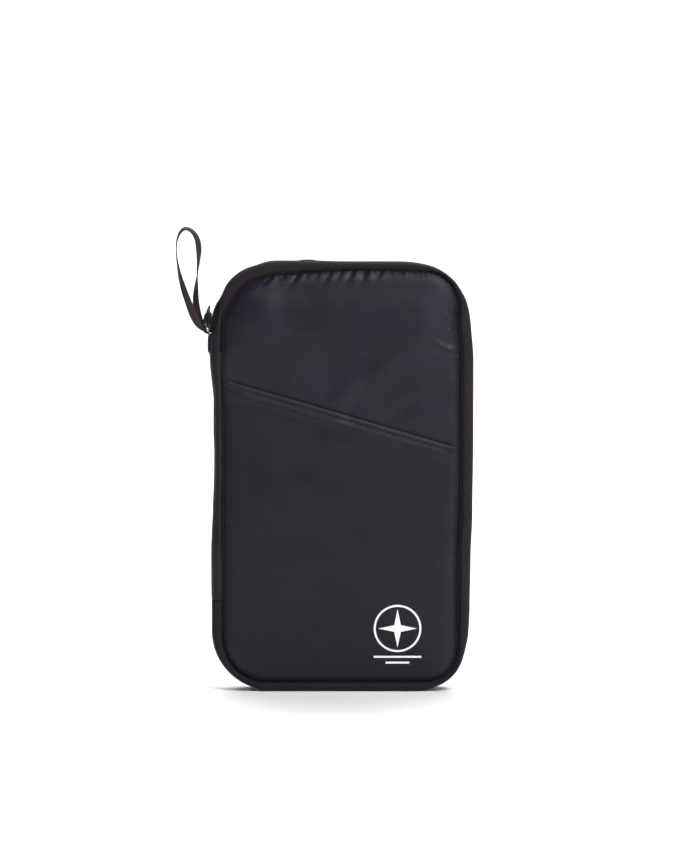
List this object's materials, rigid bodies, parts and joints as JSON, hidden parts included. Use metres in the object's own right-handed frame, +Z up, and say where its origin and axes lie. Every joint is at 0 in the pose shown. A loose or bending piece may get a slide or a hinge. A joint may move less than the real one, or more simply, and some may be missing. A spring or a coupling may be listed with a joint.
{
  "type": "passport holder wallet",
  "caption": "Upright zip-around travel wallet with padded covers that fold open on a fabric spine, a slash pocket outside, inner pockets and a ribbon loop on the zip slider.",
  "frame": {"origin": "middle of the bottom zip edge that the closed case stands on, on the middle plane between the two covers", "axes": "+Z up the case, +Y out of the back cover, +X away from the spine"},
  "size_m": [0.1623, 0.0231, 0.2534],
  "materials": {
    "shell_fabric": "fine ripstop weave, low sheen",
    "zip_tape": "woven polyester tape, matt",
    "lining_fabric": "plain weave, matt",
    "padding": "soft foam sheet",
    "coil": "satin nylon",
    "slider_metal": "glossy black lacquer",
    "stop_metal": "satin",
    "ribbon": "grosgrain ribbon, soft sheen",
    "mark_print": "heat-transfer print, matt",
    "pocket_mesh": "open knit mesh over a backing"
  },
  "bodies": {
    "back_cover": {"back_shell": "shell_fabric", "back_foam": "padding", "back_lining": "lining_fabric", "back_binding": "zip_tape", "back_gusset": "shell_fabric", "back_zip_tape": "zip_tape", "back_zip_coil": "coil", "document_sleeve": "lining_fabric", "coin_pocket_mesh": "pocket_mesh", "coin_pocket_band": "shell_fabric", "coin_zip_tapes": "zip_tape", "coin_zip_coils": "coil", "coin_zip_stops": "stop_metal"},
    "coin_runner": {"coin_slider": "slider_metal"},
    "coin_tab": {"coin_pull": "slider_metal"},
    "spine": {"spine_shell": "shell_fabric", "spine_lining": "lining_fabric", "spine_top_tab": "shell_fabric", "spine_bottom_tab": "shell_fabric", "zip_end_tapes": "zip_tape", "zip_end_coils": "coil", "zip_end_stops": "stop_metal"},
    "front_cover": {"front_shell": "shell_fabric", "front_foam": "padding", "front_lining": "lining_fabric", "front_binding": "zip_tape", "front_gusset": "shell_fabric", "front_zip_tape": "zip_tape", "front_zip_coil": "coil", "front_pocket_panel": "shell_fabric", "front_pocket_hem": "shell_fabric", "printed_mark": "mark_print", "passport_pocket": "lining_fabric", "passport_pocket_hem": "zip_tape", "card_slot_upper": "lining_fabric", "card_slot_middle": "lining_fabric", "card_slot_lower": "lining_fabric"},
    "slider": {"slider_body": "slider_metal", "slider_bridge": "slider_metal"},
    "pull": {"ribbon_pull": "ribbon"}
  },
  "joints": [
    {"name": "spine_fold", "type": "hinge", "parent": "back_cover", "child": "spine", "pos_m": [-0.0695, 0.009, 0.118], "axis": [0, 0, -1], "range_deg": [0, 90]},
    {"name": "cover_fold", "type": "hinge", "parent": "spine", "child": "front_cover", "pos_m": [-0.0695, -0.009, 0.118], "axis": [0, 0, -1], "range_deg": [0, 90]},
    {"name": "slider_travel", "type": "hinge", "parent": "spine", "child": "slider", "pos_m": [-0.0375, 0, 0.201], "axis": [0, -1, 0], "range_deg": [-88, 0]},
    {"name": "pull_swing", "type": "hinge", "parent": "slider", "child": "pull", "pos_m": [-0.074, 0, 0.1973], "axis": [0, -1, 0], "range_deg": [-4, 95]},
    {"name": "coin_slide", "type": "slide", "parent": "back_cover", "child": "coin_runner", "axis": [1, 0, 0], "range_m": [0, 0.086]},
    {"name": "coin_pull_swing", "type": "hinge", "parent": "coin_runner", "child": "coin_tab", "pos_m": [-0.043, 0.0025, 0.111], "axis": [0, 0, -1], "range_deg": [0, 25]}
  ],
  "couplings": [
    {"joint": "cover_fold", "follows": "spine_fold", "ratio": 1}
  ]
}
